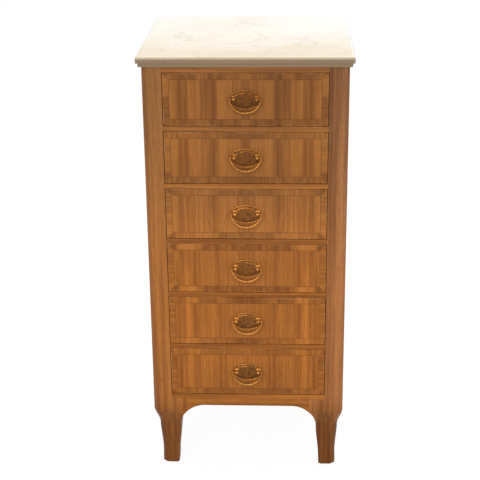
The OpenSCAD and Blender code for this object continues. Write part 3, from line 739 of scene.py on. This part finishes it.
def leg_shells(back):
    """Leg with its knee, post and two ears; x and y run inward from the corner of the case."""
    column, upright = Shell(), Shell()
    cant = BACK_CANT if back else CANT
    in_v = (lambda z: min(leg_in(z), ANKLE_U) - ANKLE_IN) if back else leg_in
    out_v = (lambda z: max(0.0, FOOT_EDGE - z)) if back else leg_out
    rings = []
    for z in leg_levels():
        soft = s_curve(min(1.0, max(0.0, (ANKLE_Z + SOFT_ABOVE - z) / SOFT_OVER)))
        share = FOOT_SHARE if z < FOOT_EDGE else 1.0
        edge = (EDGE_R + EDGE_GAIN * soft) * share
        inner_edge = (INNER_R + INNER_GAIN * soft) * share
        corners = column_corners(leg_out(z), out_v(z), leg_in(z), in_v(z), cant, edge, inner_edge)
        rings.append([(x, y, z) for x, y in rounded(corners)])
    block_v = ANKLE_W if back else ANKLE_U
    block = column_corners(0, 0, ANKLE_U, block_v, cant, BLOCK_EDGE, INNER_R)
    rings.append([(x, y, BLOCK_TOP) for x, y in rounded(block)])
    column.loft(rings)
    post = column_corners(0, 0, POST_W, POST_W, cant, BLOCK_EDGE, INNER_R)
    if back:
        rebate_u = HALF_CASE - BACK_HIGH.x - HIDE
        rebate_v = BACK_HIGH.y - BACK_LOW.y + HIDE
        post[1:2] = [(rebate_u, 0, 0.4), (rebate_u, rebate_v, 0.1), (POST_W, rebate_v, 0.4)]
    upright.loft([[(x, y, z) for x, y in rounded(post)] for z in (BLOCK_TOP - POST_SINK, POST_TOP)])
    shells = [column, upright]
    # Ears towards the two aprons
    for swap in (False, True):
        shift = ANKLE_IN if back and swap else 0.0
        flat = back and not swap
        deep = ANKLE_W if flat else ANKLE_U
        start = ANKLE_U - EAR_SINK
        places = [start + (EAR_U - start) * k / EAR_STEPS for k in range(EAR_STEPS + 1)]
        ear = Shell()
        ear.loft([ear_section(u, shift, flat, deep - EAR_BACK, swap) for u in places])
        shells.append(ear)
    return shells


def face_points(flat, low):
    """Points (depth, z) up the outer face of an ear or apron, above an eased lower edge."""
    out = (lambda z: 0.0) if flat else leg_out
    ease, part = LOWER_EASE, LOWER_EASE * 0.3
    points = [(out(low) + ease, low), (out(low + part) + part, low + part)]
    for k in range(FACE_STEPS + 1):
        z = low + ease + (BLOCK_TOP - low - ease) * k / FACE_STEPS
        points.append((out(z), z))
    return points


def ear_section(u, shift, flat, deep, swap):
    """Section of an ear at distance u from the corner, along y instead of x where swap is true."""
    low = arch_z(u)
    points = [(d + HIDE, z) for d, z in face_points(flat, low)]
    points += [(deep, BLOCK_TOP), (deep, low)]
    if swap:
        return [(d, u - shift, z) for d, z in points]
    return [(u, d, z) for d, z in points]


def corner_matrix(right, back):
    """From a corner of the case, with x and y running inward, to the frame."""
    return (Matrix.Translation((HALF_CASE if right else -HALF_CASE, BACK_Y if back else FRONT_Y, 0))
            @ Matrix.Diagonal((-1 if right else 1, -1 if back else 1, 1, 1)))


def make_legs():
    for number, (back, right) in enumerate(product((False, True), repeat=2)):
        name = ("back" if back else "front") + ("_right_leg" if right else "_left_leg")
        shells = leg_shells(back)
        for shell in shells:
            shell.move(corner_matrix(right, back))
        # The posts' colour holds a painted sheen, and the wood darkens upward as painted shade
        finish = wood_material(name + "_wood", RIGHT_POST_AND_SHEEN if right else LEFT_POST_AND_SHEEN, ALONG_Z,
                               (0.17 * number, 0.3 * number, 0.4), rough=LEG_ROUGH,
                               foot_colour=LEG_DARK, top_shade=RIGHT_TOP_SHADE if right else LEFT_TOP_SHADE,
                               shine=LEG_SHINE)
        mesh = united_mesh(name + "_shaped", shells)
        finish_object(name + "_shaped", mesh, [finish], "case", [name])


def apron_shell(length, flat):
    """Apron along x from 0 to length, whose ends carry on the arches of two ears."""
    shell = Shell()
    end = ARCH_U - EAR_U
    places = [end * k / APRON_STEPS for k in range(APRON_STEPS + 1)]
    places += [length - end * (1 - k / APRON_STEPS) for k in range(APRON_STEPS + 1)]
    rebate = BLOCK_TOP - FLOOR_T - FLOOR_AIR
    sections = []
    for x in places:
        low = arch_z(EAR_U + min(x, length - x))
        points = face_points(flat, low)
        points += [(APRON_T - FLOOR_LAP, BLOCK_TOP), (APRON_T - FLOOR_LAP, rebate),
                   (APRON_T, rebate), (APRON_T, low)]
        sections.append([(x, d, z) for d, z in points])
    shell.loft(sections)
    return shell


def make_aprons():
    tone = shade(VENEER, APRON_TONE)
    wood = wood_material("apron_wood", tone, ALONG_X, (0.2, 0.5, 0.1))
    side_wood = wood_material("side_apron_wood", tone, ALONG_Y, (0.6, 0.1, 0.3))
    raw = raw_material("back_apron_wood", ALONG_X, (0.3, 0.3, 0.5))
    length = 2 * (HALF_CASE - EAR_U)
    front = apron_shell(length, False)
    front.move(Matrix.Translation((-length / 2, FRONT_Y, 0)))
    make_piece("front_apron_shaped", front, [wood], "case", ["front_apron"])
    back = apron_shell(length, True)
    back.move(Matrix.Translation((-length / 2, BACK_Y, 0)) @ Matrix.Diagonal((1, -1, 1, 1)))
    make_piece("back_apron_shaped", back, [raw], "case", ["back_apron"])
    side_length = BACK_Y - FRONT_Y - 2 * EAR_U + ANKLE_IN
    swapped = Matrix(((0, 1, 0, 0), (1, 0, 0, 0), (0, 0, 1, 0), (0, 0, 0, 1)))
    for name, sign in (("left_apron", 1), ("right_apron", -1)):
        side = apron_shell(side_length, False)
        side.move(Matrix.Translation((-sign * HALF_CASE, FRONT_Y + EAR_U, 0))
                  @ Matrix.Diagonal((sign, 1, 1, 1)) @ swapped)
        make_piece(name + "_shaped", side, [side_wood], "case", [name])


# Stone

EDGE_ROUND, EDGE_COVE, EDGE_FOOT, EDGE_LIP = 5.0, 3.5, 3.0, 0.4
FRONT_CORNER_R, BACK_CORNER_R, EDGE_STEPS, CORNER_STEPS = 3.0, 1.0, 10, 5


def slab_profile():
    """Points (inset, z from the underside) up the moulded edge of the slab."""
    thick = SLAB_HIGH.z - SLAB_LOW.z
    points = [(EDGE_COVE, 0.0), (EDGE_COVE, EDGE_FOOT)]
    angles = [radians(90 * k / EDGE_STEPS) for k in range(EDGE_STEPS + 1)]
    points += [(EDGE_COVE * cos(a), EDGE_FOOT + EDGE_COVE * sin(a)) for a in angles[1:]]
    points.append((0.0, EDGE_FOOT + EDGE_COVE + EDGE_LIP))
    points += [(EDGE_ROUND * (1 - cos(a)), thick - EDGE_ROUND * (1 - sin(a))) for a in angles]
    return points


def make_slab():
    shell = Shell()
    rings = []
    for inset, z in slab_profile():
        x = SLAB_HIGH.x - inset
        front, back = SLAB_LOW.y + inset, SLAB_HIGH.y
        corners = [(-x, front, FRONT_CORNER_R), (x, front, FRONT_CORNER_R),
                   (x, back, BACK_CORNER_R), (-x, back, BACK_CORNER_R)]
        rings.append([(px, py, SLAB_LOW.z + z) for px, py in rounded(corners, CORNER_STEPS)])
    shell.loft(rings)
    make_piece("moulded_marble_slab", shell, [stone_material()], "case", ["marble_top"],
               STONE_CREASE)


# Drawers

# Thickness of the veneer, rounding of its edges and how close to the face they lie
VENEER_T, VENEER_EASE, FACE_NEAR = 1.2, 0.8, 0.01
# The rounded edges reach past this far from the middle or are longer than that; a bore's aren't
OUTER_X, LONG_X = 100, 50
CORE_CONTRAST = 0.8


def make_fronts():
    core = wood_material("drawer_core_wood", CORE, ALONG_X, (0.9, 0.3, 0.5), CORE_CONTRAST,
                         CORE_ROUGH)
    for number in range(1, DRAWERS + 1):
        node = f"drawer_{number}_front"
        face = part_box(node)[0].y / MM

        def on_face(a, b):
            return (abs(a.y - face) < FACE_NEAR and abs(b.y - face) < FACE_NEAR
                    and (max(abs(a.x), abs(b.x)) > OUTER_X or abs(a.x - b.x) > LONG_X))

        front = eased_copy(f"drawer_{number}_front_eased", node, f"drawer_{number}",
                           [front_material(number), core], on_face, VENEER_EASE)
        for polygon in front.data.polygons:
            polygon.material_index = int(polygon.center.y > (face + VENEER_T) * MM)


# Sizes of the pulls, as the CAD model has them, in millimetres
PLATE_RX, PLATE_RZ, PLATE_FACE = 27.0, 17.0, 2.0
POST_SPAN, PIVOT_UP, PIVOT_OUT = 38.0, 3.0, 9.0
BALL_R, NECK_R, COLLAR_R = 4.25, 2.75, 4.75
BOLT_R, FRONT_T, NUT_W, NUT_T, NUT_DEEP = 2.0, 20.0, 8.0, 3.0, 5.0
PIN_R, BAIL_W, BAIL_DROP, BAIL_BOW = 1.2, 50.9, 23.0, 2.0
BAIL_END_R, BAIL_MID_R, EYE_R = 1.6, 2.6, 1.7
# Radius at the closed end of a turned piece, and the easing of bolts and nuts
TIP_R, METAL_EASE = 0.2, 0.4
# Material of the plate's field, and of what the hands rub
FIELD, RUBBED = 0, 1
# Rim and field of the plate: inset from its outline and height
PLATE_RIM = [(0.0, 0.0), (0.0, 0.7), (0.25, 1.3), (0.8, 1.8), (1.4, PLATE_FACE), (2.0, 1.8),
             (2.4, 1.3)]
PLATE_FIELD = [(2.6, 1.0), (4.6, 1.0), (4.9, 1.25), (5.5, 1.3), (6.1, 1.75), (6.6, 1.8),
               (10.0, 1.9), (14.0, PLATE_FACE), (16.5, PLATE_FACE)]
BEADS, BEAD_R, BEAD_INSET, BEAD_FOOT = 60, 0.62, 3.6, 1.0
# Turned rings on a bail: their places and half width in degrees, and their height
RING_AT, RING_HALF, RING_H = (62, 118), 2.6, 0.4
BAIL_STEPS, BAIL_SIDES = 72, 14
# Turned post of a pull up to its ball, as (radius, distance outward), and the ball's arc in degrees
POST_TURNED = [(0.3, 0.9), (COLLAR_R, 0.9), (COLLAR_R, 1.7), (COLLAR_R - 0.5, 2.2), (3.6, 2.5),
               (NECK_R, 2.9), (NECK_R - 0.2, 3.9), (NECK_R + 0.1, 4.7), (3.35, 5.0)]
BALL_FROM, BALL_TO, BALL_STEPS, POST_SIDES, BOLT_SIDES = -70, 90, 12, 24, 16
# How far a bolt ends short of the front's face and a pin short of the inner side of its ball
BOLT_SHORT, PIN_SHORT = 0.1, 1
NUT_EDGE, PIN_SIDES, EYE_SIDES = 0.5, 12, 14


def oval_ring(inset, height, sides=64):
    return [((PLATE_RX - inset) * cos(2 * pi * k / sides), -height,
             (PLATE_RZ - inset) * sin(2 * pi * k / sides)) for k in range(sides)]


def lathe(shell, profile, base, sides, index=0):
    """Turned piece round an axis along -y; profile holds (radius, distance outward)."""
    rings = []
    for radius, out in profile:
        rings.append([(base[0] + radius * cos(2 * pi * k / sides), base[1] - out,
                       base[2] + radius * sin(2 * pi * k / sides)) for k in range(sides)])
    shell.loft(rings, index)


def add_bead(shell, place):
    """Small round bead standing on the plate."""
    r = BEAD_R
    lathe(shell, [(r, 0.0), (r * 0.92, r * 0.45), (r * 0.55, r * 0.85), (0.1, r)], place, 8, RUBBED)


def add_nut(shell, base):
    """Square nut on a bolt, let into the inner face of the front."""
    low, high, half = NUT_DEEP - NUT_T - FRONT_T, NUT_DEEP - FRONT_T, NUT_W / 2
    outline = rounded([(-half, -half, NUT_EDGE), (half, -half, NUT_EDGE),
                       (half, half, NUT_EDGE), (-half, half, NUT_EDGE)], 1)
    shell.loft([[(base[0] + x, -out, base[2] + z) for x, z in outline]
                for out in (low, low + METAL_EASE, high - METAL_EASE, high)], FIELD)


def pull_shell():
    """Oval plate with a rolled rim, a row of beads and a raised middle; posts, bolts and nuts."""
    shell = Shell()
    shell.loft([oval_ring(*p) for p in PLATE_RIM + PLATE_FIELD],
               [RUBBED] * (len(PLATE_RIM) - 1) + [FIELD] * len(PLATE_FIELD))
    for k in range(BEADS):
        angle = 2 * pi * k / BEADS
        add_bead(shell, ((PLATE_RX - BEAD_INSET) * cos(angle), -BEAD_FOOT,
                         (PLATE_RZ - BEAD_INSET) * sin(angle)))
    turn = BALL_TO - BALL_FROM
    arc = [radians(BALL_FROM + turn * k / BALL_STEPS) for k in range(1, BALL_STEPS)]
    post = POST_TURNED + [(BALL_R * cos(a), PIVOT_OUT + BALL_R * sin(a)) for a in arc]
    post.append((POST_TURNED[0][0], PIVOT_OUT + BALL_R))
    bolt = [(TIP_R, -FRONT_T), (BOLT_R - METAL_EASE, -FRONT_T), (BOLT_R, -FRONT_T + METAL_EASE),
            (BOLT_R, -BOLT_SHORT), (TIP_R, -BOLT_SHORT)]
    for side in (-1, 1):
        base = (side * POST_SPAN / 2, 0.0, PIVOT_UP)
        lathe(shell, post, base, POST_SIDES, RUBBED)
        lathe(shell, bolt, base, BOLT_SIDES, FIELD)
        add_nut(shell, base)
    return shell


def bail_centre(angle):
    """Middle of the bail's bar, from one pin at 0 to the other at pi."""
    return Vector((BAIL_W / 2 * cos(angle), -BAIL_BOW * sin(angle), -BAIL_DROP * sin(angle)))


def bail_radius(angle):
    """The bar swells to its middle, with a turned ring at each side of the swell."""
    radius = BAIL_END_R + (BAIL_MID_R - BAIL_END_R) * sin(angle) ** 2
    for ring in RING_AT:
        off = (angle - radians(ring)) / radians(RING_HALF)
        if abs(off) < 1:
            radius += RING_H * sqrt(1 - off * off)
    return radius


def bail_shell():
    """Bar of the bail, its pins inward into the balls and the eyes round their outer ends."""
    shell = Shell()
    step = 1e-3
    rings = []
    for angle in (pi * k / BAIL_STEPS for k in range(BAIL_STEPS + 1)):
        ahead = (bail_centre(angle + step) - bail_centre(angle - step)).normalized()
        normal = ahead.cross(Vector((0, -1, 0))).normalized()
        other = normal.cross(ahead)
        turns = (2 * pi * k / BAIL_SIDES for k in range(BAIL_SIDES))
        rings.append([bail_centre(angle) + bail_radius(angle) * (normal * sin(t) + other * cos(t))
                      for t in turns])
    shell.loft(rings, RUBBED)
    pin_in = (POST_SPAN - 2 * BALL_R) / 2 + PIN_SHORT
    pin_end = BAIL_W / 2 - pin_in
    pin = [(TIP_R, 0), (PIN_R, 0), (PIN_R, pin_end), (TIP_R, pin_end)]
    eye = [(TIP_R, -EYE_R)] + [(EYE_R * cos(radians(a)), EYE_R * sin(radians(a)))
                               for a in range(-75, 90, 15)] + [(TIP_R, EYE_R)]
    for side in (-1, 1):
        start = len(shell.points)
        lathe(shell, pin, (0, 0, 0), PIN_SIDES, RUBBED)
        turn = Matrix(((0, -side, 0, side * pin_in), (1, 0, 0, 0), (0, 0, 1, 0), (0, 0, 0, 1)))
        shell.move(turn, start)
        lathe(shell, eye, (side * BAIL_W / 2, 0, 0), EYE_SIDES, RUBBED)
    return shell


# Brass and its patina in the field of the plates and on what the hands rub, and their shares
BRASS, PATINA, PATINA_SHARE = (0.20, 0.074, 0.017), (0.075, 0.028, 0.010), 0.55
BRIGHT, DULLED, DULLED_SHARE = (0.38, 0.155, 0.034), (0.15, 0.058, 0.016), 0.35
# How bright each pull's brass has stayed, from the top
PULL_TONES = [0.80, 0.94, 1.15, 1.11, 1.12, 1.04]


def make_pulls():
    for number in range(1, DRAWERS + 1):
        age = PULL_TONES[number - 1]
        field = brass_material(f"brass_patina_{number}", shade(BRASS, age), shade(PATINA, age),
                               PATINA_SHARE)
        rubbed = brass_material(f"brass_rubbed_{number}", shade(BRIGHT, age), shade(DULLED, age),
                                DULLED_SHARE)
        low, high = box_mm(f"drawer_{number}_pull")
        centre = Matrix.Translation((0, FRONT_Y, (low.z + high.z) / 2))
        pull = pull_shell()
        pull.move(centre)
        make_piece(f"drawer_{number}_oval_pull", pull, [field, rubbed], f"drawer_{number}",
                   [f"drawer_{number}_pull"])
        bail = bail_shell()
        bail.move(centre @ Matrix.Translation((0, -PIVOT_OUT, PIVOT_UP)))
        make_piece(f"drawer_{number}_turned_bail", bail, [field, rubbed], f"bail_{number}",
                   [f"drawer_{number}_bail"])


# Pins of the back panel: distance from its edge, distance apart, head as (radius, height), finish
PIN_EDGE, PIN_PITCH = 6.0, 72.0
PIN_HEAD = [(TIP_R, -1.0), (2.2, -1.0), (2.2, 0.15), (1.9, 0.45), (1.2, 0.7), (TIP_R, 0.8)]
PIN_BRASS, PIN_PATINA, PIN_PATINA_SHARE = (0.30, 0.15, 0.05), (0.075, 0.035, 0.015), 0.6


def spaced(low, high):
    """Even places from low to high, about PIN_PITCH apart."""
    count = round((high - low) / PIN_PITCH)
    return [low + (high - low) * k / count for k in range(count + 1)]


def make_back_pins():
    """Round heads of the pins that hold the back panel in its rebates."""
    shell = Shell()
    side = BACK_HIGH.x - PIN_EDGE
    levels = spaced(BACK_LOW.z + PIN_EDGE, BACK_HIGH.z - PIN_EDGE)
    places = [(x, z) for x in (-side, side) for z in levels]
    places += [(x, z) for x in spaced(-side, side)[1:-1] for z in (levels[0], levels[-1])]
    for x, z in places:
        start = len(shell.points)
        lathe(shell, PIN_HEAD, (0, 0, 0), PIN_SIDES)
        shell.move(Matrix.Translation((x, BACK_Y, z)) @ Matrix.Diagonal((1, -1, 1, 1)), start)
    metal = brass_material("pin_brass", PIN_BRASS, PIN_PATINA, PIN_PATINA_SHARE)
    make_piece("back_panel_pins", shell, [metal], "case")


# Finishes of the CAD nodes that stay

def paint(node, material):
    """Gives a CAD node one material."""
    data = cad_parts[node].data
    data.materials.clear()
    data.materials.append(material)
    for polygon in data.polygons:
        polygon.material_index = 0


def paint_case():
    # The rails are lighter than the veneer, partly as painted light against the shade of the gaps
    # between the drawers
    paint("drawer_rails", wood_material("rail_wood", shade(VENEER, RAIL_TONE_AND_LIGHT), ALONG_X,
                                        (0.4, 0.2, 0.6)))
    paint("top_frame", wood_material("top_rail_wood", shade(VENEER, TOP_RAIL_TONE), ALONG_X,
                                     (0.7, 0.1, 0.2)))
    for side, offset in (("left", (0.2, 0.9, 0.1)), ("right", (0.8, 0.35, 0.5))):
        name = side + "_side_panel"
        paint(name, wood_material(name + "_wood", shade(VENEER, PANEL_TONE), ALONG_Z, offset))
    paint("back_panel", raw_material("back_panel_wood", ALONG_Z, (0.1, 0.2, 0.3)))
    paint("bottom_board", raw_material("bottom_board_wood", ALONG_X, (0.4, 0.5, 0.6)))
    runner_wood = raw_material("runner_wood", ALONG_Y, (0.7, 0.8, 0.9))
    for name in ("drawer_runners", "drawer_stops"):
        paint(name, runner_wood)


def paint_drawers():
    for number in range(1, DRAWERS + 1):
        shift = 0.23 * number
        side = raw_material(f"drawer_{number}_side_wood", ALONG_Y, (0.1, shift, 0.2))
        across = raw_material(f"drawer_{number}_cross_wood", ALONG_X, (0.6, 0.4, shift))
        for end in ("left_side", "right_side"):
            paint(f"drawer_{number}_{end}", side)
        for end in ("back", "bottom"):
            paint(f"drawer_{number}_{end}", across)


set_camera()
set_studio()
make_slab()
make_legs()
make_aprons()
make_fronts()
make_pulls()
make_back_pins()
paint_case()
paint_drawers()
